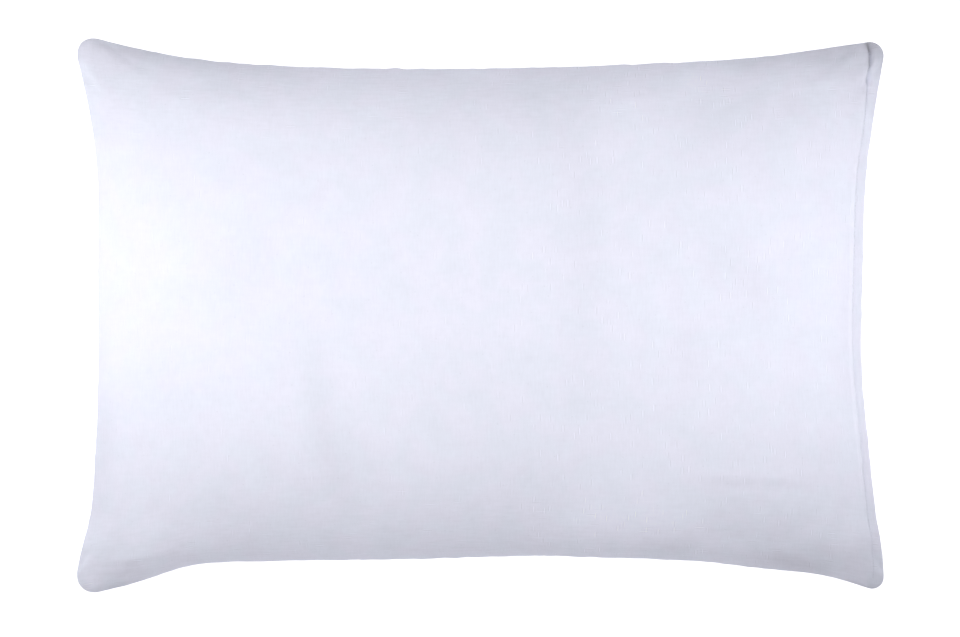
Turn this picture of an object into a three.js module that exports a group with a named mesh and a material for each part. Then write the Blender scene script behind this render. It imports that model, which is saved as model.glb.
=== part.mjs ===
// A filled pillow protector: two rectangular cotton panels sewn together round the sides into a bag,
// hemmed at the closing end and blown out by the pillow inside. It lies on its back panel.
// Millimetres. +Z is up out of the front panel, +X points to the closing end, and the origin is under
// the middle of the bag, on the surface it lies on.
import * as THREE from "three";
import { mergeVertices } from "three/addons/utils/BufferGeometryUtils.js";

// Driving sizes
const LENGTH = 726; // over the corners, along X
const WIDTH = 498; // over the corners, along Y
const THICKNESS = 152; // from the surface to the top of the crown
const SEAM_HEIGHT = 60; // of the side seams above the surface, halfway along a side
const CORNER_DROOP = 26; // how much lower the seam lies at the four corners
const DROOP_POWER = 3; // how close to the corners the seam starts to droop
const EAR_DROOP = { topRight: 10, topLeft: 5, bottomLeft: 3, bottomRight: 8 }; // more, in the empty tips
const EAR_POWER = 12;
const BACK_DEPTH = 100; // how far the back panel would hang below the seams with no surface under it
const TOUCHDOWN = 7; // the back panel meets the surface in a soft bend of this height

// The filling leaves the seam steeply and is broad on top: each panel stands out by
// (1 - |s|^CROWN)^EDGE across each of its two directions, where s runs from -1 to 1.
const CROWN = 2.4;
const EDGE = 0.6;

// The filling draws each side seam in between its corners. A row says how far the seam lies inside the
// corner-to-corner box at each of the STATIONS, from one corner (-1) to the next (1): left to right
// along the top and bottom sides, bottom to top along the left and right ones. A row's two end values
// lie past the round corners.
const STATIONS = [-1, -0.85, -0.7, -0.5, -0.2, 0.2, 0.5, 0.7, 0.85, 1];
const DRAWN_IN = {
  top: [-6, 9, 20, 27, 30, 28, 24, 18, 10, 1],
  bottom: [-6, 8, 25, 29, 31, 34, 30, 22, 15, -2],
  left: [-4, 4, 14, 19, 22, 22, 21, 14, 5, -6],
  right: [-1, 3, 10, 16, 23, 22, 19, 12, 5, -3],
};
const CORNER_RADIUS = { topRight: 18, topLeft: 27, bottomLeft: 25, bottomRight: 16 };

// The hem at the closing end, seen from above: its stitch line runs HEM_INSET inside the end seam and
// swings further in near the corners, where the bag is thin and the hem lies flatter.
const HEM_INSET = 9.5;
const HEM_CORNER_SWING = 5;
const HEM_SWING_POWER = 10;
const STITCH_GROOVE = 1.4; // depth of the stitch line's groove
const GROOVE_HALF_WIDTH = 2;

// Fineness of the mesh
const COLUMNS = 40; // along X, before the hem's own columns
const ROWS = 28; // along Y

const halfLength = LENGTH / 2;
const halfWidth = WIDTH / 2;
const frontRise = THICKNESS - SEAM_HEIGHT;

// Height of a smooth curve through the row's values, at place s between -1 and 1.
function along(row, s) {
  const last = STATIONS.length - 1;
  const slope = (i) => (row[i + 1] - row[i]) / (STATIONS[i + 1] - STATIONS[i]);
  const tangent = (i) => slope(Math.max(0, i - 1)) / 2 + slope(Math.min(last - 1, i)) / 2;
  let i = 0;
  while (i < last - 1 && s > STATIONS[i + 1]) i += 1;
  const step = STATIONS[i + 1] - STATIONS[i];
  const u = (s - STATIONS[i]) / step;
  const ease = u * u * (3 - 2 * u);
  const leave = u * (1 - u) * (1 - u) * step;
  const arrive = u * u * (u - 1) * step;
  return row[i] * (1 - ease) + row[i + 1] * ease + tangent(i) * leave + tangent(i + 1) * arrive;
}

const cornerNear = (x, y) => (y > 0 ? "top" : "bottom") + (x > 0 ? "Right" : "Left");

// A point of the corner-to-corner rectangle, moved so that the rectangle's corners are round.
function roundCorners(x, y) {
  const radius = CORNER_RADIUS[cornerNear(x, y)];
  const p = (Math.abs(x) - halfLength + radius) / radius;
  const q = (Math.abs(y) - halfWidth + radius) / radius;
  if (p <= 0 || q <= 0) return [x, y];
  const roundX = halfLength - radius + radius * p * Math.sqrt(1 - (q * q) / 2);
  const roundY = halfWidth - radius + radius * q * Math.sqrt(1 - (p * p) / 2);
  return [Math.sign(x) * roundX, Math.sign(y) * roundY];
}

// The same point after the filling has drawn the sides in.
function drawIn(x, y) {
  const s = x / halfLength;
  const t = y / halfWidth;
  const inX = along(x > 0 ? DRAWN_IN.right : DRAWN_IN.left, t);
  const inY = along(y > 0 ? DRAWN_IN.top : DRAWN_IN.bottom, s);
  return [x - s * inX, y - t * inY];
}

// Height of the seam, carried on as a surface through the bag.
function seamHeight(s, t) {
  const towardsCorner = Math.abs(s * t);
  const ear = EAR_DROOP[cornerNear(s, t)] * towardsCorner ** EAR_POWER;
  return SEAM_HEIGHT - CORNER_DROOP * towardsCorner ** DROOP_POWER - ear;
}

// The back panel's height: the surface stops it, after a soft bend.
function onSurface(height) {
  if (height > TOUCHDOWN) return height;
  if (height < -TOUCHDOWN) return 0;
  return (height + TOUCHDOWN) ** 2 / (4 * TOUCHDOWN);
}

// The point of the front or back panel at s along X and t along Y, each from -1 to 1.
function panelPoint(s, t, isFront) {
  const [x, y] = drawIn(...roundCorners(s * halfLength, t * halfWidth));
  const seam = seamHeight(s, t);
  const fullness = ((1 - Math.abs(s) ** CROWN) * (1 - Math.abs(t) ** CROWN)) ** EDGE;
  const z = isFront ? seam + frontRise * fullness : onSurface(seam - BACK_DEPTH * fullness);
  return new THREE.Vector3(x, y, z);
}

// Places from -1 to 1 that crowd together towards both ends, where the panels are steep.
function crowdedPlaces(count) {
  return Array.from({ length: count + 1 }, (_, i) => -Math.cos((Math.PI * i) / count));
}

// The mesh's columns. Each is a function of t, because the last ones follow the hem's stitch line: the
// panel side of its groove, the groove's bottom, its hem side and the middle of the hem.
function columnsAlongX() {
  const insetAt = (t) => HEM_INSET + HEM_CORNER_SWING * Math.abs(t) ** HEM_SWING_POWER;
  const insideEnd = (distance) => 1 - distance / halfLength;
  const plainEnd = insideEnd(HEM_INSET + 2 * GROOVE_HALF_WIDTH);
  const plain = crowdedPlaces(COLUMNS).filter((s) => s < plainEnd);
  const besideGroove = [GROOVE_HALF_WIDTH, 0, -GROOVE_HALF_WIDTH];
  const hem = besideGroove.map((beside) => (t) => insideEnd(insetAt(t) + beside));
  const hemMiddle = (t) => insideEnd(insetAt(t) / 3);
  return {
    places: [...plain.map((s) => () => s), ...hem, hemMiddle, () => 1],
    groove: plain.length + 1,
  };
}

// The direction out of the panel at s, t.
function outwardAt(s, t, isFront) {
  const step = 1e-4;
  const alongX = panelPoint(s + step, t, isFront).sub(panelPoint(s - step, t, isFront));
  const alongY = panelPoint(s, t + step, isFront).sub(panelPoint(s, t - step, isFront));
  const up = alongX.cross(alongY).normalize();
  return isFront ? up : up.negate();
}

// The point at the bottom of the hem's stitch line, no deeper than a quarter of the bag's thickness there.
function stitchedPoint(s, t, isFront) {
  const point = panelPoint(s, t, isFront);
  const thickness = panelPoint(s, t, true).z - panelPoint(s, t, false).z;
  if (thickness === 0) return point;
  const depth = Math.min(STITCH_GROOVE, thickness / 4);
  return point.addScaledVector(outwardAt(s, t, isFront), -depth);
}

// One closed solid: the front panel's grid of points and the back panel's, joined along the seam.
function filledBag() {
  const { places, groove } = columnsAlongX();
  const rows = crowdedPlaces(ROWS);
  const points = [];
  const index = [];
  for (const isFront of [true, false]) {
    const start = points.length;
    places.forEach((place, i) => {
      const pointAt = i === groove ? stitchedPoint : panelPoint;
      rows.forEach((t) => points.push(pointAt(place(t), t, isFront)));
    });
    for (let i = 0; i + 1 < places.length; i += 1) {
      for (let j = 0; j + 1 < rows.length; j += 1) {
        const a = start + i * rows.length + j;
        const b = a + rows.length;
        const corners = isFront ? [a, b, b + 1, a, b + 1, a + 1] : [a, b + 1, b, a, a + 1, b + 1];
        index.push(...corners);
      }
    }
  }
  const geometry = new THREE.BufferGeometry().setFromPoints(points).setIndex(index);
  return mergeVertices(geometry);
}

// Moves the bag so that its box stands on z = 0 with the origin under its middle.
function centreOnSurface(geometry) {
  geometry.computeBoundingBox();
  const { min, max } = geometry.boundingBox;
  geometry.translate(-(min.x + max.x) / 2, -(min.y + max.y) / 2, -min.z);
  geometry.computeVertexNormals();
  return geometry;
}

const cotton = new THREE.MeshStandardMaterial({ color: 0xe8e9f7, roughness: 0.92, metalness: 0 });

const cover = new THREE.Mesh(centreOnSurface(filledBag()), cotton);
cover.name = "cover";

const protector = new THREE.Group();
protector.add(cover);

export default protector;
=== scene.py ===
import bpy
import numpy as np
from mathutils import Matrix, Vector


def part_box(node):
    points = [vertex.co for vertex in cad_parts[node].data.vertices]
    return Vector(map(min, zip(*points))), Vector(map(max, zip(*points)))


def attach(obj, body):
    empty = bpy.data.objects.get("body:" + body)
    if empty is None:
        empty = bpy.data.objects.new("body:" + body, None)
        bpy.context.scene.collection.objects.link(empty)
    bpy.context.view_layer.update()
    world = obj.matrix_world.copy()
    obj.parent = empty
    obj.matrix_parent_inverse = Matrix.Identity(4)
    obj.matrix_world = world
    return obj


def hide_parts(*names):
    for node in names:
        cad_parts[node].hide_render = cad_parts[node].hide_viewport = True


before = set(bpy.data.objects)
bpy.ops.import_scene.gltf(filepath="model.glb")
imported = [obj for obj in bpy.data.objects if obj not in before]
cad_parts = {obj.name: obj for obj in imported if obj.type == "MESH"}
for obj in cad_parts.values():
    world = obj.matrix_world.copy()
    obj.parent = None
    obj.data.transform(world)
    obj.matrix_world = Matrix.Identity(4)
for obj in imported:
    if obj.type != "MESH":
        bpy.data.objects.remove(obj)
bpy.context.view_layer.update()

# A pillow protector, filled by its pillow, lies face up on a pale floor. Metres, in the frame of the
# solid "cover": +X points to the hemmed closing end, +Y across the bag and +Z up out of the front panel.
# s and t are places on a panel along X and Y, each from -1 at one seam to 1 at the other.

# --- The filled bag: the same form as the solid's, fitted to the solid's box ---
COVER_LOW, COVER_HIGH = (np.array(corner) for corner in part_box("cover"))
COVER_SIZE = COVER_HIGH - COVER_LOW
COVER_MIDDLE = (COVER_LOW + COVER_HIGH) / 2
HALF_SIZE = np.array([0.363, 0.249])  # of the corner-to-corner box, before its corners are rounded
SEAM_HEIGHT, CORNER_DROOP, DROOP_POWER = 0.060, 0.026, 3
EAR_DROOP, EAR_POWER = {(1, 1): 0.010, (-1, 1): 0.005, (-1, -1): 0.003, (1, -1): 0.008}, 12
BACK_DEPTH, TOUCHDOWN = 0.100, 0.007
CROWN, EDGE = 2.4, 0.6
STATIONS = np.array([-1, -0.85, -0.7, -0.5, -0.2, 0.2, 0.5, 0.7, 0.85, 1])
DRAWN_IN = {  # mm, from left to right or from bottom to top
    "top": [-6, 9, 20, 27, 30, 28, 24, 18, 10, 1],
    "bottom": [-6, 8, 25, 29, 31, 34, 30, 22, 15, -2],
    "left": [-4, 4, 14, 19, 22, 22, 21, 14, 5, -6],
    "right": [-1, 3, 10, 16, 23, 22, 19, 12, 5, -3],
}
CORNER_RADIUS = {(1, 1): 0.018, (-1, 1): 0.027, (-1, -1): 0.025, (1, -1): 0.016}

# --- The cloth ---
FLAT_SIZE = (0.750, 0.500)  # of the finished bag before it is filled
SEAM_WANDER, SEAM_WANDER_SIZE, SEAM_WANDER_POWER = 0.0016, 0.07, 12  # how the seams stray up and down
HEM = {  # mm at STATIONS, from bottom to top
    "width": [13.5, 13.8, 13.8, 14.5, 16, 18.5, 17, 14.5, 15, 14.6],  # along the cloth, seam to stitch line
    "depth": [0.1, 0.3, 0.6, 0.8, 0.8, 0.5, 0.4, 0.5, 2.0, 4.4],  # of the stitch line's groove
    "groove": [1.3, 1.3, 1.3, 1.3, 1.3, 1.3, 1.3, 1.4, 2.3, 3.0],  # half its width
    "ridge": [0.2, 0.3, 0.6, 1.4, 1.3, 1.4, 1.2, 1.0, 0.6, 0.1],  # of the panel just inside it
}
HEM_RIDGE_INSIDE, HEM_RIDGE_HALF_WIDTH = 0.0034, 0.0026
GROOVE_UNEVENNESS = 0.12  # of its depth
GROOVE_SHARE = 0.35  # of the bag's thickness, at most, so that the two panels' grooves stay apart
HEM_PUFF, HEM_PUFF_REACH = 0.0008, 0.016  # the panel swells beside the stitch line
HEM_CROWN = 0.0004  # the folded layers round out the hem itself
HEM_FADE = 0.006  # of the hem's relief, beside the side seams
STITCH_PITCH = 0.0030
STITCH_PUCKER, STITCH_PUCKER_REACH = 0.00028, 0.009
SEAM_PUCKER, SEAM_PUCKER_REACH, SEAM_PUCKER_FADE = 0.0004, 0.014, 0.003
PUCKER_SIZES = {  # in from a seam and along it
    "groove": (0.03, 1.5 * STITCH_PITCH),
    "stitches": (0.03, 1.6 * STITCH_PITCH),
    "seams": (0.04, 0.0075),
}
SEAM_ROLL, SEAM_ROLL_WIDTH = 0.0005, 0.0018  # each panel rounds over beside the seam
SEAM_ROLL_REACH = 6 * SEAM_ROLL_WIDTH
LUMPS = [(0.0007, 0.085), (0.0002, 0.028)]  # height and size of the unevenness of the filling
LUMP_FADE = 0.03  # of the lumps, beside the seams
# Seeds of the unevenness. The seams of a panel count on from its seed in ones and its lumps in twos.
SEEDS = {"wander": 3, "back tone": 9, "stitches": 11, "groove": 12}
LUMP_SEEDS = {"front": 5, "back": 6}
SEAM_SEEDS = {"front": 20, "back": 30}

# Soft troughs (a negative height) and ridges of the front panel, placed from the middle of the bag.
CREASES = [
    # x, y, turn in degrees from +X, half length, half width, height, all lengths in mm
    (140, 210, 3, 70, 32, 3.0),
    (136, -208, -2, 80, 32, 3.0),
    (-270, -216, 8, 50, 22, 2.0),
    (-170, 210, 0, 120, 36, 2.0),
    (88, 60, 90, 150, 20, -1.2),
    (-136, -100, -77, 75, 15, -1.2),
    (238, -142, -3, 46, 5, 0.5),
    (238, -152, -3, 50, 5, -0.4),
    (-300, -214, 12, 36, 4, 0.8),
    (-290, -225, 10, 34, 4, -0.8),
    (-280, -236, 14, 30, 4, 0.6),
    (130, 188, 12, 26, 5, 0.6),
    (308, 207, 10, 34, 6, 0.8),
    (-226, 191, -10, 24, 6, 0.5),
    (300, -176, 60, 22, 6, -0.7),
    (322, -186, 70, 20, 6, -0.7),
    (276, -190, 50, 20, 6, -0.6),
]

# Painted light and shade on the front panel: soft strips where the cotton is painted whiter, as if lit, or
# dimmer, as if shaded, with the shadows in its grooves and folds among them
PAINTED_LIGHT_AND_SHADE_PATCHES = {
    # where: rows of x, y, turn, half length, half width, per cent whiter
    "crown": [
        (89, 60, 90, 155, 22, -3),
        (-136, -100, -77, 75, 15, -4.5),
        (230, 34, -45, 40, 26, -4),
        (-210, 46, 0, 30, 28, -2.5),
        (60, -60, 0, 90, 60, -1.5),
        (-70, 10, 0, 110, 60, -1.2),
        (179, -30, 90, 30, 16, -2.5),
        (75, 52, 0, 55, 40, -1.2),
        (170, 66, 0, 50, 40, -1),
        (-20, -85, 0, 60, 45, -1),
    ],
    "top side": [
        (139, 184, 0, 52, 32, 4),
        (125, 152, 0, 45, 26, 3),
        (250, 208, 6, 80, 14, 3.5),
        (198, 213, 6, 28, 10, 5),
        (0, 214, 0, 30, 8, 4),
        (-170, 166, 0, 115, 34, 2.5),
        (-285, 212, -9, 35, 9, 4),
        (-235, 224, -9, 75, 7, -5),
        (290, 234, 8, 60, 6, -4),
        (325, 231, 8, 30, 6, -5),
        (238, 222, 8, 8, 5, -3),
        (300, 226.5, 6, 26, 5, -3),
        (210, 203, 2, 80, 14, 1.5),
        (-229, 218, -7, 42, 7, -2),
    ],
    "bottom side": [
        (134, -174, 0, 62, 30, 6),
        (135, -128, 0, 60, 30, 2),
        (215, -201, 0, 25, 9, 4),
        (-273, -190, 8, 45, 17, 4),
        (70, -208, 0, 130, 8, -3),
        (247, -216, -8, 12, 5, 4),
        (271, -213, -8, 15, 7, -4),
        (143, -179, 0, 75, 16, 1.5),
        (275, -220, -8, 40, 7, -10),
        (170, -204, 0, 22, 8, -4),
    ],
    "ends": [
        (325, 140, 93, 60, 9, 2),
        (320, 30, 90, 45, 7, 1.5),
        (346, 160, 96, 30, 6, 4),
        (-340, -130, 84, 60, 14, -5),
    ],
    "top left corner": [
        (-357, 226, 80, 18, 8, 5),
        (-314, 216, -15, 16, 7, -3),
        (-340, 241, -10, 9, 3, -5),
        (-310, 235, -9, 22, 4, -4),
        (-355, 243, 45, 7, 4, 5),
        (-317, 229, -40, 16, 4, 2.5),
        (-357, 220, -72, 14, 3, -3),
    ],
    "top right corner, with the fold in its hem": [
        (334, 240, 8, 12, 5, -4),
        (355, 237, 80, 13, 8, -9),
        (349, 232, 90, 11, 2.2, -18),
        (348, 223, 88, 7, 2.2, -12),
        (348, 241, -63, 6, 2.4, -28),
        (351, 243, -40, 5, 3.5, -14),
        (339, 242, 80, 6, 4, 5),
        (335, 221, 10, 14, 4, -3),
    ],
    "bottom left corner": [
        (-352, -232, -60, 18, 12, 4),
        (-355, -241, -45, 10, 7, 5),
        (-321, -241, 14, 24, 3, -8),
        (-357, -219, 80, 12, 3, -5),
        (-325, -226, 4, 20, 2, 3),
        (-322, -231, 5, 22, 2, -3),
        (-297, -222, 10, 9, 5, 3),
        (-322, -174, 90, 14, 10, -2),
    ],
    "bottom right corner": [
        (347, -243.5, -12, 26, 2.5, -12),
        (351, -192, 96, 30, 3.5, -4),
        (318, -212, -10, 30, 8, -5),
    ],
}
# Painted shade: the cloth is painted darker as it bends away to a side seam, and to the end seam in the top
# right corner
RIM_PAINTED_SHADE = {"top": (0.10, 0.007), "bottom": (0.05, 0.003), "hem": (0.30, 0.0020)}  # share, reach
HEM_PAINTED_SHADE_FROM, HEM_PAINTED_SHADE_FULL = 0.8, 0.95  # t
# Random tone of the back panel, and the size of its patches
BACK_RANDOM_TONE, BACK_RANDOM_TONE_SIZE = 0.015, 0.08

# --- The mesh ---
STEP, SEAM_STEP, HEM_STEP = 0.0031, 0.0015, 0.0010  # between lines, along the cloth
SEAM_ZONE, HEM_ZONE = 0.009, 0.036  # how far in from a seam the close lines run
STITCH_LINE_AT = 0.015  # from the end seam: the column that is moved onto the hem's stitch line
STITCH_COLUMN = -1 - round(STITCH_LINE_AT / HEM_STEP)
OUTLINE_POINTS = 801  # along a side, to find the box of the bag's plan

# --- Settling as cloth ---
CLOTH_STEP = 0.007
CLOTH_FRAMES = 20
CLOTH_CAP = 0.006  # no point moves further than this
LYING_BELOW = TOUCHDOWN / 100  # the back panel's points lower than this lie on the surface


# Form of the panels
def along(row, place):
    """A smooth curve through a row's values in mm at STATIONS, read at places from -1 to 1, in metres."""
    row = np.array(row) / 1000
    step = np.diff(STATIONS)
    slope = np.diff(row) / step
    tangent = (np.r_[slope[0], slope] + np.r_[slope, slope[-1]]) / 2
    place = np.clip(place, -1, 1)
    i = np.clip(np.searchsorted(STATIONS, place, side="right") - 1, 0, len(step) - 1)
    u = (place - STATIONS[i]) / step[i]
    ease = u * u * (3 - 2 * u)
    bend = tangent[i] * u * (1 - u) ** 2 - tangent[i + 1] * u * u * (1 - u)
    return row[i] * (1 - ease) + row[i + 1] * ease + bend * step[i]


def round_corners(x, y):
    """Points of the corner-to-corner rectangle, moved so that its corners are round."""
    for (side_x, side_y), radius in CORNER_RADIUS.items():
        p = (side_x * x - HALF_SIZE[0] + radius) / radius
        q = (side_y * y - HALF_SIZE[1] + radius) / radius
        near = (p > 0) & (q > 0)
        round_x = HALF_SIZE[0] - radius + radius * p * np.sqrt(np.clip(1 - q * q / 2, 0, 1))
        round_y = HALF_SIZE[1] - radius + radius * q * np.sqrt(np.clip(1 - p * p / 2, 0, 1))
        x, y = np.where(near, side_x * round_x, x), np.where(near, side_y * round_y, y)
    return x, y


def outline_points(s, t):
    """Where s, t lies in the plan of the bag, before it is fitted to the solid's box."""
    x, y = round_corners(s * HALF_SIZE[0], t * HALF_SIZE[1])
    s, t = x / HALF_SIZE[0], y / HALF_SIZE[1]
    in_x = np.where(x > 0, along(DRAWN_IN["right"], t), along(DRAWN_IN["left"], t))
    in_y = np.where(y > 0, along(DRAWN_IN["top"], s), along(DRAWN_IN["bottom"], s))
    return np.stack([x - s * in_x, y - t * in_y], axis=-1)


def outline_box():
    """The low and high corner of the plan's box."""
    side = np.linspace(-1, 1, OUTLINE_POINTS)
    end = np.ones_like(side)
    seam = outline_points(np.r_[side, side, end, -end], np.r_[end, -end, side, side])
    return seam.min(axis=0), seam.max(axis=0)


PLAN_LOW, PLAN_HIGH = outline_box()
PLAN_FIT = COVER_SIZE[:2] / (PLAN_HIGH - PLAN_LOW)


def seam_height(s, t):
    """Height of the seam, which droops to the corners and again in their empty tips."""
    height = SEAM_HEIGHT - CORNER_DROOP * np.abs(s * t) ** DROOP_POWER
    for (side_x, side_y), droop in EAR_DROOP.items():
        height = height - droop * (np.clip(side_x * s, 0, 1) * np.clip(side_y * t, 0, 1)) ** EAR_POWER
    return height


def in_cover_box(plan):
    """Places in the plan, fitted to the solid's box."""
    return (plan - (PLAN_LOW + PLAN_HIGH) / 2) * PLAN_FIT + COVER_MIDDLE[:2]


def panel_points(s, t, front):
    """Points of the front or back panel at s, t."""
    plan = in_cover_box(outline_points(s, t))
    seam = seam_height(s, t)
    across = np.clip(1 - np.abs(s) ** CROWN, 0, 1) * np.clip(1 - np.abs(t) ** CROWN, 0, 1)
    if front:
        z = seam + (COVER_SIZE[2] - SEAM_HEIGHT) * across**EDGE
    else:
        hang = seam - BACK_DEPTH * across**EDGE
        touching = np.clip(hang + TOUCHDOWN, 0, None) ** 2 / (4 * TOUCHDOWN)
        z = np.where(hang > TOUCHDOWN, hang, touching)
    return np.concatenate([plan, COVER_LOW[2] + z[..., None]], axis=-1)


# Grids of points: the first axis runs along X and the second along Y
def arc_lengths(points, axis):
    """Distances along the cloth from a grid's first line to each of its points, along an axis."""
    steps = np.linalg.norm(np.diff(points, axis=axis), axis=-1)
    return np.concatenate([np.zeros_like(steps.take([0], axis)), np.cumsum(steps, axis)], axis)


def outward(points, front):
    """Unit normals out of the bag, on a grid of points."""
    normal = np.cross(np.gradient(points, axis=0), np.gradient(points, axis=1))
    normal /= np.maximum(np.linalg.norm(normal, axis=-1, keepdims=True), 1e-12)
    return normal if front else -normal


def spline_weights(u):
    """Weights of four neighbours on a smooth curve through the middle two, at u from 0 to 1 between them."""
    return (
        (-u + 2 * u**2 - u**3) / 2,
        (2 - 5 * u**2 + 3 * u**3) / 2,
        (u + 4 * u**2 - 3 * u**3) / 2,
        (u**3 - u**2) / 2,
    )


def sampled(grid, x, y):
    """Smooth values between the points of a grid, at places counted in its cells."""
    i = np.clip(np.floor(x).astype(int), 0, grid.shape[0] - 2)
    j = np.clip(np.floor(y).astype(int), 0, grid.shape[1] - 2)
    total = 0
    for step_i, weight_i in enumerate(spline_weights(x - i)):
        for step_j, weight_j in enumerate(spline_weights(y - j)):
            near_i = np.clip(i + step_i - 1, 0, grid.shape[0] - 1)
            near_j = np.clip(j + step_j - 1, 0, grid.shape[1] - 1)
            weight = (weight_i * weight_j).reshape(x.shape + (1,) * (grid.ndim - 2))
            total = total + weight * grid[near_i, near_j]
    return total


def unevenness(x, y, cell_x, cell_y, seed):
    """Smooth random heights of about 1, with bumps of the cell's size."""
    across_x, across_y = (x - x.min()) / cell_x + 1, (y - y.min()) / cell_y + 1
    grid = (int(across_x.max()) + 3, int(across_y.max()) + 3)
    return sampled(np.random.default_rng(seed).normal(size=grid), across_x, across_y)


def smooth_step(x):
    x = np.clip(x, 0, 1)
    return x * x * (3 - 2 * x)


# Lines of the fine mesh
CROWDED = np.sin(np.linspace(-np.pi / 2, np.pi / 2, 2001))  # places, close together near both seams
MIDDLE_LINE = np.zeros_like(CROWDED)


def fine_places():
    """s and t of the fine mesh's points. Columns near the hem follow its stitch line and the end seam."""
    across = arc_lengths(panel_points(MIDDLE_LINE, CROWDED, True), 0)
    length = arc_lengths(panel_points(CROWDED, MIDDLE_LINE, True), 0)
    near_seam = np.linspace(0, SEAM_ZONE, round(SEAM_ZONE / SEAM_STEP) + 1)[:-1]
    plain_width = across[-1] - 2 * SEAM_ZONE
    rows_at = np.r_[
        near_seam,
        SEAM_ZONE + np.linspace(0, plain_width, round(plain_width / STEP) + 1),
        (across[-1] - near_seam)[::-1],
    ]
    plain_length = length[-1] - SEAM_ZONE - HEM_ZONE
    columns_at = np.r_[
        near_seam,
        SEAM_ZONE + np.linspace(0, plain_length, round(plain_length / STEP) + 1)[:-1],
        length[-1] - HEM_ZONE + np.linspace(0, HEM_ZONE, round(HEM_ZONE / HEM_STEP) + 1),
    ]
    rows = np.interp(rows_at, across, CROWDED)
    to_end = length[-1] - columns_at
    follows_end = smooth_step((5 * HEM_ZONE - to_end) / (4 * HEM_ZONE))
    follows_stitches = smooth_step((3 * HEM_ZONE - to_end) / (2 * HEM_ZONE))
    follows_stitches *= np.clip(to_end / STITCH_LINE_AT, 0, 1)
    evenly = np.interp(columns_at, length, CROWDED)
    s = np.empty((len(columns_at), len(rows)))
    for j, t in enumerate(rows):
        from_end = arc_lengths(panel_points(CROWDED[::-1], np.full_like(CROWDED, t), True), 0)
        at_stitches = along(HEM["width"], t) - STITCH_LINE_AT
        parallel = np.interp(to_end + at_stitches * follows_stitches, from_end, CROWDED[::-1])
        s[:, j] = parallel * follows_end + evenly * (1 - follows_end)
    s[0], s[-1] = -1, 1
    return s, np.broadcast_to(rows, s.shape)


# One closed mesh from the front and back panels' grids, which share the points of the seam
def bag_mesh(name, front, back):
    """A mesh of the two panels, and where each grid's points are in it."""
    columns, rows = front.shape[:2]
    index = np.arange(2 * columns * rows).reshape(2, columns, rows)
    seam = np.ones((columns, rows), bool)
    seam[1:-1, 1:-1] = False
    index[1][seam] = index[0][seam]
    kept, index = np.unique(index, return_inverse=True)
    index = index.reshape(2, columns, rows)
    points = np.stack([front, back]).reshape(-1, 3)[kept]
    corners = [index[:, :-1, :-1], index[:, 1:, :-1], index[:, 1:, 1:], index[:, :-1, 1:]]
    quads = np.stack(corners, axis=-1)
    quads[1] = quads[1, ..., ::-1].copy()
    mesh = bpy.data.meshes.new(name)
    mesh.from_pydata(points, [], quads.reshape(-1, 4).tolist())
    return mesh, index


# Settling as cloth
def add_flat_shape(bag, index, counts):
    """A shape key of the bag as it was cut, which its cloth would like to keep."""
    flat_lines = [np.linspace(-size / 2, size / 2, count + 1) for size, count in zip(FLAT_SIZE, counts)]
    flat_x, flat_y = np.meshgrid(*flat_lines, indexing="ij")
    flat = np.zeros((len(bag.data.vertices), 3))
    for panel in index:
        flat[panel] = np.stack([flat_x, flat_y, np.zeros_like(flat_x)], axis=-1)
    bag.shape_key_add(name="filled")
    as_cut = bag.shape_key_add(name="as_cut")
    as_cut.data.foreach_set("co", flat.ravel())
    return as_cut


def add_held_group(bag, index, back):
    """A vertex group of the points that stay: the seam's, and the back panel's on the surface."""
    held = np.zeros(len(bag.data.vertices), bool)
    for panel in index:
        for line in (panel[0], panel[-1], panel[:, 0], panel[:, -1]):
            held[line] = True
    held[index[1][back[..., 2] < COVER_LOW[2] + LYING_BELOW]] = True
    group = bag.vertex_groups.new(name="held")
    group.add(np.flatnonzero(held).tolist(), 1, "REPLACE")


def add_cloth(bag, as_cut):
    """Cotton under the pillow's light pressure, with no gravity."""
    modifier = bag.modifiers.new("cloth", "CLOTH")
    cloth = modifier.settings
    cloth.rest_shape_key = as_cut
    cloth.vertex_group_mass = "held"
    cloth.quality = 6
    cloth.mass = 0.3
    cloth.tension_stiffness, cloth.compression_stiffness = 40, 10
    cloth.shear_stiffness, cloth.bending_stiffness = 5, 2
    cloth.use_pressure = True
    cloth.uniform_pressure_force = 4
    cloth.effector_weights.gravity = 0
    modifier.point_cache.frame_end = CLOTH_FRAMES


def settled_points(bag):
    """The bag's points after the last frame of its settling."""
    for number in range(1, CLOTH_FRAMES + 1):
        bpy.context.scene.frame_set(number)
    result = bag.evaluated_get(bpy.context.evaluated_depsgraph_get()).to_mesh()
    points = np.empty(3 * len(result.vertices))
    result.vertices.foreach_get("co", points)
    return points.reshape(-1, 3)


def settled_shift():
    """How far the panels of a coarse bag move when its cloth takes up the pillow's pressure."""
    counts = [round(size / CLOTH_STEP) for size in FLAT_SIZE]
    length = arc_lengths(panel_points(CROWDED, MIDDLE_LINE, True), 0)
    across = arc_lengths(panel_points(MIDDLE_LINE, CROWDED, True), 0)
    columns = np.interp(np.linspace(0, length[-1], counts[0] + 1), length, CROWDED)
    rows = np.interp(np.linspace(0, across[-1], counts[1] + 1), across, CROWDED)
    s, t = np.meshgrid(columns, rows, indexing="ij")
    start = np.stack([panel_points(s, t, front) for front in (True, False)])
    mesh, index = bag_mesh("settling", *start)
    bag = bpy.data.objects.new("settling", mesh)
    bpy.context.collection.objects.link(bag)
    as_cut = add_flat_shape(bag, index, counts)
    add_held_group(bag, index, start[1])
    add_cloth(bag, as_cut)
    shift = settled_points(bag)[index] - start
    bpy.data.objects.remove(bag)
    bpy.data.meshes.remove(mesh)
    bpy.context.scene.frame_set(1)
    size = np.linalg.norm(shift, axis=-1, keepdims=True)
    return columns, rows, shift * np.minimum(1, CLOTH_CAP / np.maximum(size, 1e-9))


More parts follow.
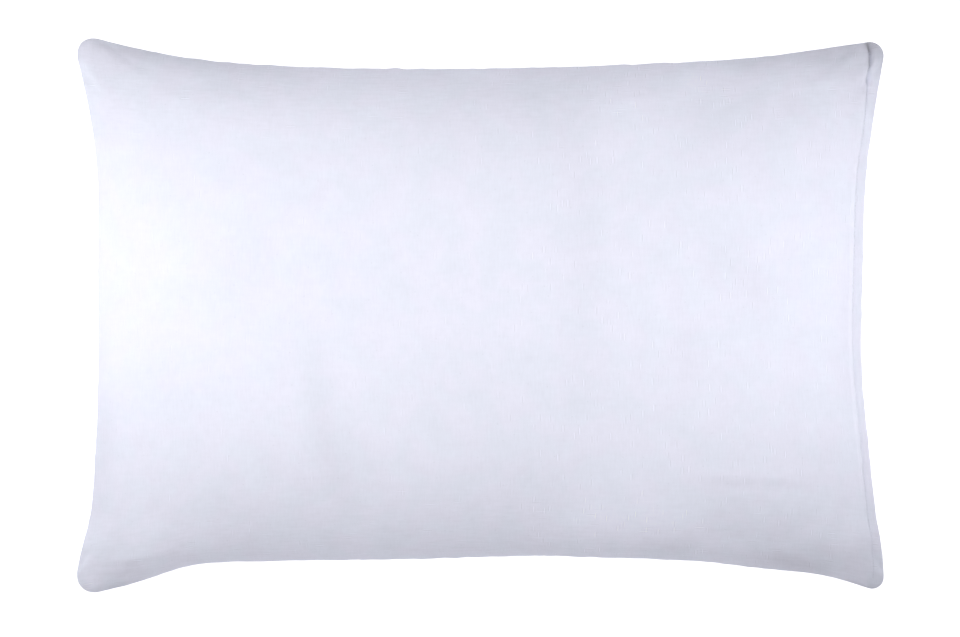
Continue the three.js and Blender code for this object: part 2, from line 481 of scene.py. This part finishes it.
# Relief of the panels, along their normals
def soft_strips(rows, points):
    """The sum of a table's soft-edged strips, each as high as its row's last value."""
    total = np.zeros(points.shape[:2])
    for x, y, turn, half_length, half_width, size in rows:
        turn = np.radians(turn)
        dx, dy = points[..., 0] * 1000 - x, points[..., 1] * 1000 - y
        length_wise = (dx * np.cos(turn) + dy * np.sin(turn)) / half_length
        cross_wise = (dy * np.cos(turn) - dx * np.sin(turn)) / half_width
        total += size * np.exp(-(length_wise**4) - cross_wise**2)
    return total


def hem_relief(to_end, to_side, y, t, thickness):
    """The stitch line's groove and puckers, the ridge and swell beside it and the hem's own round."""
    width, depth, half_groove, ridge = (along(HEM[name], t) for name in ("width", "depth", "groove", "ridge"))
    depth = np.minimum(depth, GROOVE_SHARE * thickness)
    past_stitches = to_end - width
    uneven = unevenness(to_end, y, *PUCKER_SIZES["groove"], SEEDS["groove"])
    groove = -depth * (1 + GROOVE_UNEVENNESS * uneven) * np.exp(-((past_stitches / half_groove) ** 2))
    ridge = ridge * np.exp(-(((past_stitches - HEM_RIDGE_INSIDE) / HEM_RIDGE_HALF_WIDTH) ** 2))
    inside = np.clip(past_stitches, 0, None)
    puff = HEM_PUFF * (1 - np.exp(-inside / HEM_RIDGE_INSIDE)) * np.exp(-inside / HEM_PUFF_REACH)
    crown = HEM_CROWN * np.clip(1 - (2 * to_end / width - 1) ** 2, 0, 1) * (past_stitches < 0)
    pull = STITCH_PUCKER * np.exp(-np.abs(past_stitches) / STITCH_PUCKER_REACH)
    pucker = pull * unevenness(to_end, y, *PUCKER_SIZES["stitches"], SEEDS["stitches"])
    return (groove + ridge + puff + crown + pucker) * smooth_step(to_side / HEM_FADE)


def seam_relief(distances, lengths, seed):
    """Small puckers that run in from each seam, and each panel's roll over beside it."""
    height = 0
    for number, (distance, length) in enumerate(zip(distances, lengths)):
        pull = SEAM_PUCKER * np.exp(-distance / SEAM_PUCKER_REACH)
        height += pull * unevenness(distance, length, *PUCKER_SIZES["seams"], seed + number)
    nearest = np.minimum.reduce(distances)
    roll = SEAM_ROLL * (1 - np.exp(-nearest / SEAM_ROLL_WIDTH)) * np.exp(-nearest / SEAM_ROLL_REACH)
    return height * smooth_step(nearest / SEAM_PUCKER_FADE) + roll


def seam_wander(s, t):
    """How far the seams stray up and down. It dies away into the panels, alike in both."""
    x, y = s * HALF_SIZE[0], t * HALF_SIZE[1]
    stray = SEAM_WANDER * unevenness(x, y, SEAM_WANDER_SIZE, SEAM_WANDER_SIZE, SEEDS["wander"])
    return stray * np.maximum(np.abs(s), np.abs(t)) ** SEAM_WANDER_POWER


def panel_relief(points, s, t, distances, flat, front):
    """The height of all the panel's relief over its settled points."""
    flat_x, flat_y = flat[..., 0], flat[..., 1]
    nearest = np.minimum.reduce(distances)
    thickness = panel_points(s, t, True)[..., 2] - panel_points(s, t, False)[..., 2]
    height = hem_relief(distances[1], np.minimum(distances[2], distances[3]), flat_y, t, thickness)
    side = "front" if front else "back"
    height += seam_relief(distances, [flat_y, flat_y, flat_x, flat_x], SEAM_SEEDS[side])
    for number, (size, cell) in enumerate(LUMPS):
        lumps = unevenness(flat_x, flat_y, cell, cell, LUMP_SEEDS[side] + 2 * number)
        height += size * lumps * smooth_step(nearest / LUMP_FADE)
    if front:
        height += soft_strips(CREASES, points) / 1000 * smooth_step(nearest / SEAM_ZONE)
    return height * (nearest > 0)


def panel_painted_light_and_tone(points, t, distances, flat, front):
    """How much whiter the cotton is painted than its plain colour, as a share, and below 0 how much dimmer:
    painted light and shade on the front panel, random tone on the back one, and painted shade beside the
    seams on both.
    """
    if front:
        # Painted light and shade: the front panel's soft strips
        rows = [row for group in PAINTED_LIGHT_AND_SHADE_PATCHES.values() for row in group]
        painted_light_and_tone = soft_strips(rows, points) / 100
    else:
        size, seed = BACK_RANDOM_TONE_SIZE, SEEDS["back tone"]
        painted_light_and_tone = BACK_RANDOM_TONE * unevenness(flat[..., 0], flat[..., 1], size, size, seed)
        painted_light_and_tone *= smooth_step(np.minimum.reduce(distances) / LUMP_FADE)
    # Painted shade beside the side seams, and beside the end seam in the top right corner
    in_corner = smooth_step((t - HEM_PAINTED_SHADE_FROM) / (HEM_PAINTED_SHADE_FULL - HEM_PAINTED_SHADE_FROM))
    rims = {"bottom": (distances[2], 1), "top": (distances[3], 1), "hem": (distances[1], in_corner)}
    for name, (to_rim, share) in rims.items():
        painted_shade, reach = RIM_PAINTED_SHADE[name]
        painted_light_and_tone -= painted_shade * np.exp(-to_rim / reach) * share
    return painted_light_and_tone


def finished_panel(s, t, front, settled):
    """The panel's points with all their relief, their places on the flat cloth, and its painted light and
    shade with the back panel's random tone.
    """
    columns, rows, shifts = settled
    points = panel_points(s, t, front)
    u, v = arc_lengths(points, 0), arc_lengths(points, 1)
    distances = [u, u[-1] - u, v, v[:, -1:] - v]
    flat = np.stack([u - u[-1] / 2, v - v[:, -1:] / 2], axis=-1)
    cell_x = np.interp(s, columns, np.arange(len(columns)))
    cell_y = np.interp(t, rows, np.arange(len(rows)))
    points = points + sampled(shifts[0 if front else 1], cell_x, cell_y)
    points[..., 2] += seam_wander(s, t)
    painted_light_and_tone = panel_painted_light_and_tone(points, t, distances, flat, front)
    height = panel_relief(points, s, t, distances, flat, front)
    points += outward(points, front) * height[..., None]
    points[..., 2] = np.maximum(points[..., 2], COVER_LOW[2])
    return points, flat, painted_light_and_tone


def make_panels():
    """What finished_panel gives for the front panel and for the back one."""
    s, t = fine_places()
    settled = settled_shift()
    return [finished_panel(s, t, front, settled) for front in (True, False)]


def make_cover(panels):
    """The filled bag, as one closed mesh with the flat cloth's coordinates as its UV map."""
    (front, front_flat, front_painted_light_and_tone), (back, back_flat, back_painted_light_and_tone) = panels
    mesh, index = bag_mesh("protector", front, back)
    mesh.polygons.foreach_set("use_smooth", np.ones(len(mesh.polygons), bool))
    flat = np.stack([front_flat, back_flat + np.array([0, 2 * FLAT_SIZE[1]])])
    corners = [flat[:, :-1, :-1], flat[:, 1:, :-1], flat[:, 1:, 1:], flat[:, :-1, 1:]]
    places = np.stack(corners, axis=-2)
    places[1] = places[1, ..., ::-1, :].copy()
    mesh.uv_layers.new(name="FlatCloth").data.foreach_set("uv", places.ravel())
    # Painted light and shade of each point, with the back panel's random tone, for the material
    painted_light_and_tone = np.zeros(len(mesh.vertices))
    painted_light_and_tone[index[1]] = back_painted_light_and_tone
    painted_light_and_tone[index[0]] = front_painted_light_and_tone
    mesh.attributes.new("PaintedLightAndTone", "FLOAT", "POINT").data.foreach_set("value", painted_light_and_tone)
    mesh.update()
    cover = bpy.data.objects.new("protector", mesh)
    bpy.context.collection.objects.link(cover)
    return cover


# --- Topstitching ---
THREAD_RADIUS = 0.00022
STITCH_LENGTH = 0.0025  # that shows between two holes STITCH_PITCH apart
STITCH_RISE = 0.00030  # of a stitch's middle over the line between its holes
STITCH_MARGIN = 0.010  # between the last stitches and the side seams
THREAD_SIDES, THREAD_RINGS = 6, 7


def stitch_holes(points, front):
    """Where the needle went in along a panel's stitch line, and the way out of the cloth there."""
    line, out = points[STITCH_COLUMN], outward(points, front)[STITCH_COLUMN]
    at = arc_lengths(line, 0)
    holes = np.arange(STITCH_MARGIN, at[-1] - STITCH_MARGIN, STITCH_PITCH)
    return [np.stack([np.interp(holes, at, values) for values in part.T], axis=1) for part in (line, out)]


def make_topstitching(panels):
    """The thread of the hem's stitches on both panels: short bowed pieces, each dipping in at both ends."""
    place = np.linspace(-1, 1, THREAD_RINGS)
    thickness = THREAD_RADIUS * np.sqrt(1 - 0.9 * place**4)
    angle = np.linspace(0, 2 * np.pi, THREAD_SIDES, endpoint=False)
    ring = np.arange(THREAD_SIDES)
    points, faces = [], []
    for front, (cloth, _, _) in zip((True, False), panels):
        holes, out = stitch_holes(cloth, front)
        for start, end, up in zip(holes[:-1], holes[1:], out):
            forward = (end - start) / np.linalg.norm(end - start)
            side = np.cross(up, forward)
            centres = (start + end) / 2 + np.outer(place * STITCH_LENGTH / 2, forward)
            centres += np.outer(STITCH_RISE * (1 - 1.5 * place**2), up)
            around = np.outer(np.cos(angle), side) + np.outer(np.sin(angle), up)
            first = len(points) * THREAD_RINGS * THREAD_SIDES
            points.append(centres[:, None] + thickness[:, None, None] * around)
            for number in range(THREAD_RINGS - 1):
                low = first + number * THREAD_SIDES + ring
                low_next = first + number * THREAD_SIDES + (ring + 1) % THREAD_SIDES
                faces += np.stack([low, low_next, low_next + THREAD_SIDES, low + THREAD_SIDES], 1).tolist()
            faces.append((first + ring[::-1]).tolist())
            faces.append((first + (THREAD_RINGS - 1) * THREAD_SIDES + ring).tolist())
    mesh = bpy.data.meshes.new("topstitching")
    mesh.from_pydata(np.concatenate(points).reshape(-1, 3), [], faces)
    mesh.polygons.foreach_set("use_smooth", np.ones(len(mesh.polygons), bool))
    stitching = bpy.data.objects.new("topstitching", mesh)
    bpy.context.collection.objects.link(stitching)
    return stitching


# --- Cotton ---
WARM_COTTON, COOL_COTTON = (0.808, 0.811, 0.929, 1), (0.794, 0.816, 0.927, 1)
THREAD_PITCH = 0.00045
THREAD_HEIGHT = 0.00002
THREAD_WANDER, THREAD_WANDER_SIZE = 0.3, 0.004  # how far, as a share of the pitch, and over what length
BULGE_POWER, BULGE_DIFFERENCE = 0.6, 0.15  # the crossings' bulges are flat on top, every other one is higher
NOISE_EDGES = (0.35, 0.65)  # where soft noise that is spread out reaches 0 and 1
SLUBS = {  # in the threads that run across the bag and in those that run along it
    "upright": {"half_size": (0.00066, 0.0034), "spacing": (0.0050, 0.020), "share": (0.14, 0.42)},
    "level": {"half_size": (0.0044, 0.00062), "spacing": (0.024, 0.0055), "share": (0.06, 0.30)},
}
SLUB_HEIGHT = 0.00006
SLUB_TONE = 0.120
SLUB_CLUSTER = 0.030  # slubs come in loose clusters of this size
BETWEEN_CLUSTERS, IN_CLUSTERS = 0.2, 1.8  # times the share of slubs
FAINT_SLUBS = 0.4  # over this stretch of chance they grow from nothing to full strength
THIN_SLUBS, THIN_TONE = (0.35, 0.45), -0.8  # about two in five are thin places, darker and lower instead
# Edges of a slub's profile, counted in half its size, and how far it goes below 0 at its flanks
SLUB_CORE, SLUB_FLANK, SLUB_END = (1.2, 0.2), (3.2, 1.2), (1.2, 0.5)
FLANK_DEPTH = 0.5
# Where along the bag upright slubs begin to crowd together, and where they leave off
CROWD_START, CROWD_END = (-0.02, 0.10), (0.38, 0.26)
LEVEL_BAND = (0.13, 0.22)  # on the front panel, level ones crowd from here to the side seams
# Softer streaks of thicker and thinner yarn: size, tone away from the side seams and tone near them
STREAKS = {"upright": ((0.0018, 0.011), 0.055, 0.050), "level": ((0.018, 0.0028), 0.025, 0.075)}
CLOUD_SIZE, CLOUD_TONE = 0.030, 0.080
ROUGHNESS, CLOUD_ROUGHNESS = 0.9, -0.15
HUE_SIZE = 0.032
NEP_SPACING, NEP_RADII, NEP_TONE = 0.028, (0.0009, 0.00036), 0.05  # radii of a nep and of its core
THREAD_WHITE, THREAD_SHADE = (0.80, 0.81, 0.90, 1), (0.68, 0.69, 0.78, 1)
THREAD_TWIST, TWIST_HEIGHT = 0.0006, 0.00003


class Nodes:
    """Short forms for building a material's nodes."""

    def __init__(self, name):
        self.material = bpy.data.materials.new(name)
        self.material.use_nodes = True
        self.tree = self.material.node_tree
        self.shader = self.tree.nodes["Principled BSDF"]

    def add(self, kind, settings, *values):
        """A node with its settings and its first inputs, each of them a number or another node's output."""
        node = self.tree.nodes.new("ShaderNode" + kind)
        for name, value in settings.items():
            setattr(node, name, value)
        for value, socket in zip(values, node.inputs):
            self.give(value, socket)
        return node

    def give(self, value, socket):
        if isinstance(value, bpy.types.NodeSocket):
            self.tree.links.new(value, socket)
        else:
            socket.default_value = value

    def math(self, operation, *values):
        return self.add("Math", {"operation": operation}, *values).outputs[0]

    def divided(self, place, size):
        """The place counted in cells of a size."""
        return self.add("VectorMath", {"operation": "DIVIDE"}, place, (size[0], size[1], 1)).outputs[0]

    def noise(self, place, detail=1, roughness=0.5):
        """Soft random values around a half."""
        node = self.add("TexNoise", {"noise_dimensions": "2D"}, place)
        node.inputs["Scale"].default_value = 1
        node.inputs["Detail"].default_value = detail
        node.inputs["Roughness"].default_value = roughness
        return node.outputs["Fac"]

    def rise(self, value, low, high):
        """0 up to low, 1 from high on and smooth between. It falls where low is the greater."""
        settings = {"interpolation_type": "SMOOTHSTEP"}
        return self.add("MapRange", settings, value, low, high, 0, 1).outputs[0]

    def mixed(self, factor, first, second):
        node = self.add("Mix", {"data_type": "RGBA"}, factor)
        colours = [socket for socket in node.inputs if socket.type == "RGBA"]
        self.give(first, colours[0])
        self.give(second, colours[1])
        return [socket for socket in node.outputs if socket.type == "RGBA"][0]


def weave_height(nodes, place):
    """A plain weave's bulges, one over each crossing, with threads that wander a little."""
    wander_place = nodes.divided(place, (THREAD_WANDER_SIZE, THREAD_WANDER_SIZE))
    wander = nodes.add("TexNoise", {"noise_dimensions": "2D"}, wander_place)
    wander.inputs["Scale"].default_value = 1
    drift = nodes.add("VectorMath", {"operation": "SCALE"}, wander.outputs["Color"])
    drift.inputs["Scale"].default_value = THREAD_WANDER * 2
    threads = nodes.divided(place, (THREAD_PITCH, THREAD_PITCH))
    threads = nodes.add("VectorMath", {"operation": "ADD"}, threads, drift.outputs[0]).outputs[0]
    split = nodes.add("SeparateXYZ", {}, threads)
    waves = [nodes.math("SINE", nodes.math("MULTIPLY", split.outputs[axis], np.pi)) for axis in (0, 1)]
    crossing = nodes.math("MULTIPLY", *waves)
    bulge = nodes.math("POWER", nodes.math("ABSOLUTE", crossing), BULGE_POWER)
    proud = nodes.math("MULTIPLY_ADD", nodes.math("SIGN", crossing), BULGE_DIFFERENCE, 1)
    return nodes.math("MULTIPLY", nodes.math("MULTIPLY", bulge, proud), THREAD_HEIGHT)


def slubs(nodes, place, crowding, half_size, spacing, share):
    """Scattered thick and thin places in the threads: up to 1 along a thick one, and below 0 beside it."""
    cells = nodes.divided(place, spacing)
    nearest = nodes.add("TexVoronoi", {"voronoi_dimensions": "2D"}, cells)
    nearest.inputs["Scale"].default_value = 1
    offset = nodes.add("VectorMath", {"operation": "SUBTRACT"}, cells, nearest.outputs["Position"]).outputs[0]
    reach = [half / step for half, step in zip(half_size, spacing)]
    offset = nodes.add("VectorMath", {"operation": "ABSOLUTE"}, nodes.divided(offset, reach)).outputs[0]
    split = nodes.add("SeparateXYZ", {}, offset).outputs
    beside, lengthwise = (split[0], split[1]) if half_size[0] < half_size[1] else (split[1], split[0])
    core, flank = nodes.rise(beside, *SLUB_CORE), nodes.rise(beside, *SLUB_FLANK)
    core, flank = nodes.math("MULTIPLY", core, 1 + FLANK_DEPTH), nodes.math("MULTIPLY", flank, FLANK_DEPTH)
    profile = nodes.math("SUBTRACT", core, flank)
    profile = nodes.math("MULTIPLY", profile, nodes.rise(lengthwise, *SLUB_END))
    chance = nodes.add("SeparateColor", {}, nearest.outputs["Color"]).outputs
    wanted = nodes.math("MULTIPLY_ADD", crowding, share[1] - share[0], share[0])
    cluster = nodes.rise(nodes.noise(nodes.divided(place, (SLUB_CLUSTER, SLUB_CLUSTER))), *NOISE_EDGES)
    many = nodes.math("MULTIPLY_ADD", cluster, IN_CLUSTERS - BETWEEN_CLUSTERS, BETWEEN_CLUSTERS)
    wanted = nodes.math("MULTIPLY", wanted, many)
    strength = nodes.rise(nodes.math("SUBTRACT", wanted, chance[0]), 0, FAINT_SLUBS)
    thick = nodes.math("MULTIPLY_ADD", nodes.rise(chance[1], *THIN_SLUBS), 1 - THIN_TONE, THIN_TONE)
    return nodes.math("MULTIPLY", nodes.math("MULTIPLY", profile, strength), thick)


def cotton_material(name, uv_map):
    """Bleached plain-weave cotton: its threads, slubs, neps and faint unevenness of colour."""
    nodes = Nodes(name)
    place = nodes.add("UVMap", {"uv_map": uv_map}).outputs[0]
    split = nodes.add("SeparateXYZ", {}, place)
    along_bag, across_bag = split.outputs[0], split.outputs[1]

    in_crowd = nodes.math("MULTIPLY", *[nodes.rise(along_bag, *edge) for edge in (CROWD_START, CROWD_END)])
    near_sides = nodes.rise(nodes.math("ABSOLUTE", across_bag), *LEVEL_BAND)
    upright = slubs(nodes, place, in_crowd, **SLUBS["upright"])
    level = slubs(nodes, place, near_sides, **SLUBS["level"])
    slub = nodes.math("ADD", upright, level)
    streak = 0
    for size, mid_tone, side_tone in STREAKS.values():
        strength = nodes.math("MULTIPLY_ADD", near_sides, side_tone - mid_tone, mid_tone)
        strands = nodes.math("SUBTRACT", nodes.noise(nodes.divided(place, size), detail=2), 0.5)
        streak = nodes.math("MULTIPLY_ADD", strands, strength, streak)

    cells = nodes.add("TexVoronoi", {"voronoi_dimensions": "2D"}, place)
    cells.inputs["Scale"].default_value = 1 / NEP_SPACING
    nep = nodes.rise(cells.outputs["Distance"], *[radius / NEP_SPACING for radius in NEP_RADII])

    cloud = nodes.noise(nodes.divided(place, (CLOUD_SIZE, CLOUD_SIZE)), detail=3, roughness=0.8)
    cloud = nodes.math("SUBTRACT", cloud, 0.5)
    # Painted light and shade from the mesh's attribute, with the back panel's random tone
    painted_light_and_tone_fac = nodes.add("Attribute", {"attribute_name": "PaintedLightAndTone"}).outputs["Fac"]
    tone = nodes.math("MULTIPLY_ADD", slub, SLUB_TONE, nodes.math("ADD", painted_light_and_tone_fac, 1))
    tone = nodes.math("MULTIPLY_ADD", cloud, CLOUD_TONE, nodes.math("ADD", tone, streak))
    tone = nodes.math("MULTIPLY_ADD", nep, -NEP_TONE, tone)
    hue = nodes.rise(nodes.noise(nodes.divided(place, (HUE_SIZE, HUE_SIZE)), detail=2), *NOISE_EDGES)
    colour = nodes.mixed(hue, COOL_COTTON, WARM_COTTON)
    toned = nodes.add("VectorMath", {"operation": "SCALE"}, colour)
    nodes.give(tone, toned.inputs["Scale"])
    nodes.give(toned.outputs[0], nodes.shader.inputs["Base Color"])

    height = nodes.math("MULTIPLY_ADD", slub, SLUB_HEIGHT, weave_height(nodes, place))
    bump = nodes.add("Bump", {})
    bump.inputs["Distance"].default_value = 1
    nodes.give(height, bump.inputs["Height"])
    nodes.give(bump.outputs[0], nodes.shader.inputs["Normal"])
    rough = nodes.math("MULTIPLY_ADD", cloud, CLOUD_ROUGHNESS, ROUGHNESS)
    nodes.give(rough, nodes.shader.inputs["Roughness"])
    nodes.shader.inputs["Specular IOR Level"].default_value = 0.3
    nodes.shader.inputs["Sheen Weight"].default_value = 0.06
    nodes.shader.inputs["Sheen Roughness"].default_value = 0.6
    return nodes.material


def thread_material(name):
    """White polyester thread, a little glossier than the cotton, with its twist as a bump and as painted
    shade in its hollows.
    """
    nodes = Nodes(name)
    place = nodes.add("TexCoord", {}).outputs["Object"]
    split = nodes.add("SeparateXYZ", {}, place).outputs
    slant = nodes.math("ADD", nodes.math("ADD", split[0], split[1]), split[2])
    twist = nodes.math("SINE", nodes.math("MULTIPLY", slant, 2 * np.pi / THREAD_TWIST))
    bump = nodes.add("Bump", {})
    bump.inputs["Distance"].default_value = 1
    nodes.give(nodes.math("MULTIPLY", twist, TWIST_HEIGHT), bump.inputs["Height"])
    nodes.give(bump.outputs[0], nodes.shader.inputs["Normal"])
    # Painted shade: the thread is painted darker in the hollows of its twist
    colour = nodes.mixed(nodes.rise(twist, -1, 1), THREAD_SHADE, THREAD_WHITE)
    nodes.give(colour, nodes.shader.inputs["Base Color"])
    nodes.shader.inputs["Roughness"].default_value = 0.55
    nodes.shader.inputs["Specular IOR Level"].default_value = 0.4
    return nodes.material


panels = make_panels()
cover = make_cover(panels)
cover.data.materials.append(cotton_material("cotton", "FlatCloth"))
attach(cover, "root")
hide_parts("cover")

topstitching = make_topstitching(panels)
topstitching.data.materials.append(thread_material("thread"))
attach(topstitching, "root")


# --- Stage ---
FLOOR_COLOUR, GLOW_COLOUR, FLOOR_GLOW = (0.45, 0.45, 0.45, 1), (0.97, 0.965, 1, 1), 1.03
OUTLINE_STEPS = 60  # along each side of the bag's outline
# Painted shadow: the glow fades out under the bag, in rings that have the bag's outline
GLOW_RINGS = [
    # size of the ring as a share of the outline, share of the glow there
    (0.70, 0.10),
    (0.84, 0.18),
    (0.90, 0.36),
    (0.95, 0.66),
    (0.99, 0.92),
    (1.02, 1),
    (16, 1),
]


def make_floor():
    """A white surface that glows as a lit table top does and so lights the bag, with its glow faded out under
    the bag as a painted shadow.
    """
    side = np.linspace(-1, 1, OUTLINE_STEPS, endpoint=False)
    end = np.ones_like(side)
    outline = in_cover_box(outline_points(np.r_[side, end, -side, -end], np.r_[-end, side, end, -side]))
    count = len(outline)
    points, faces, glow = [(0, 0, 0)], [], [GLOW_RINGS[0][1]]
    for number, (share, ring_glow) in enumerate(GLOW_RINGS):
        first = 1 + number * count
        points += [(x * share, y * share, 0) for x, y in outline]
        glow += [ring_glow] * count
        for i in range(count):
            here, beside = first + i, first + (i + 1) % count
            inner = [0] if number == 0 else [beside - count, here - count]
            faces.append([here, beside, *inner])
    mesh = bpy.data.meshes.new("floor")
    mesh.from_pydata(points, [], faces)
    mesh.attributes.new("Glow", "FLOAT", "POINT").data.foreach_set("value", glow)
    nodes = Nodes("floor_white")
    nodes.shader.inputs["Base Color"].default_value = FLOOR_COLOUR
    nodes.shader.inputs["Roughness"].default_value = 1
    nodes.shader.inputs["Emission Color"].default_value = GLOW_COLOUR
    # Painted glow, faded to a painted shadow under the bag
    glow = nodes.add("Attribute", {"attribute_name": "Glow"}).outputs["Fac"]
    nodes.give(nodes.math("MULTIPLY", glow, FLOOR_GLOW), nodes.shader.inputs["Emission Strength"])
    mesh.materials.append(nodes.material)
    floor = bpy.data.objects.new("floor", mesh)
    bpy.context.collection.objects.link(floor)


# --- Camera ---
LENS, SENSOR = 150, 36  # mm
VIEW_WIDTH = 0.860  # that the picture takes in at the height of the seams
VIEW_MIDDLE, SEAMS_AT = (-0.0005, -0.0029), 0.045


def make_camera():
    """A camera straight above the bag, facing its front panel."""
    data = bpy.data.cameras.new("camera")
    data.lens, data.sensor_width = LENS, SENSOR
    data.clip_end = 50
    camera = bpy.data.objects.new("camera", data)
    bpy.context.collection.objects.link(camera)
    camera.location = (*VIEW_MIDDLE, VIEW_WIDTH * LENS / SENSOR + SEAMS_AT)
    bpy.context.scene.camera = camera


# --- Light ---
SOFTBOXES = {
    # name: place, length along X and width along Y before it is turned, watts, colour
    "top_softbox": ((-0.107, 0.041, 0.780), (0.60, 2.00), 6.5, (1, 0.995, 0.975)),
    "left_softbox": ((-0.628, 0.057, 0.354), (0.49, 0.20), 1.3, (1, 1, 0.99)),
    "right_softbox": ((0.456, 0.036, 0.350), (0.55, 0.42), 0.96, (1, 1, 1)),
    "ceiling": ((0, 0, 3), (5, 5), 32, (0.99, 0.983, 1.04)),
}
LIT_POINT = Vector((0, 0, 0.08))


def make_lights():
    """A long softbox over the bag, two small ones low beside its ends and a weak wide ceiling."""
    for name, (place, size, power, colour) in SOFTBOXES.items():
        data = bpy.data.lights.new(name, "AREA")
        data.shape = "RECTANGLE"
        data.size, data.size_y = size
        data.energy = power
        data.color = colour
        light = bpy.data.objects.new(name, data)
        bpy.context.collection.objects.link(light)
        light.location = place
        backward = (Vector(place) - LIT_POINT).normalized()
        right = Vector((0, 1, 0)).cross(backward).normalized()
        up = backward.cross(right)
        light.rotation_euler = Matrix((right, up, backward)).transposed().to_euler()
        light.visible_camera = False


def make_world():
    """A white background that lights nothing."""
    world = bpy.data.worlds.new("world")
    bpy.context.scene.world = world
    world.use_nodes = True
    world.node_tree.nodes["Background"].inputs["Color"].default_value = (1, 1, 1, 1)
    world.cycles_visibility.diffuse = False
    world.cycles_visibility.glossy = False
    bpy.context.scene.view_settings.view_transform = "Standard"


make_floor()
make_camera()
make_lights()
make_world()
